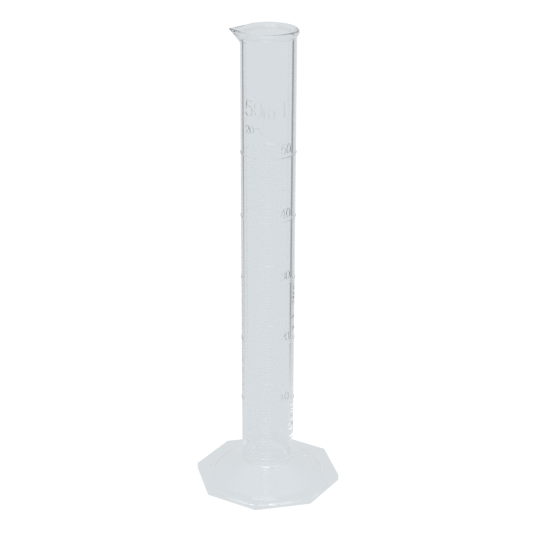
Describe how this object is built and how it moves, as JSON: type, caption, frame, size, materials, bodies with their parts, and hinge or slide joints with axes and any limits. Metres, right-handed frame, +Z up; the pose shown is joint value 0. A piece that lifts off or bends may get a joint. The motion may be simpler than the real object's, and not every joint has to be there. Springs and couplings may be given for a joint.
{
  "type": "graduated cylinder",
  "caption": "Tall clear plastic measuring cylinder with a raised volume scale, a rounded rim with a pouring lip, and a wide hollow octagonal foot.",
  "frame": {"origin": "on the tube's axis, on the surface that the foot stands on", "axes": "+Z up along the tube's axis, -X towards the pouring lip, -Y towards the scale"},
  "size_m": [0.0666, 0.0666, 0.2125],
  "materials": {
    "tube_plastic": "clear moulded plastic, glossy, with a raised scale",
    "foot_plastic": "clear moulded plastic, glossy"
  },
  "bodies": {
    "root": {"measuring_tube": "tube_plastic", "octagonal_foot": "foot_plastic"}
  },
  "joints": []
}
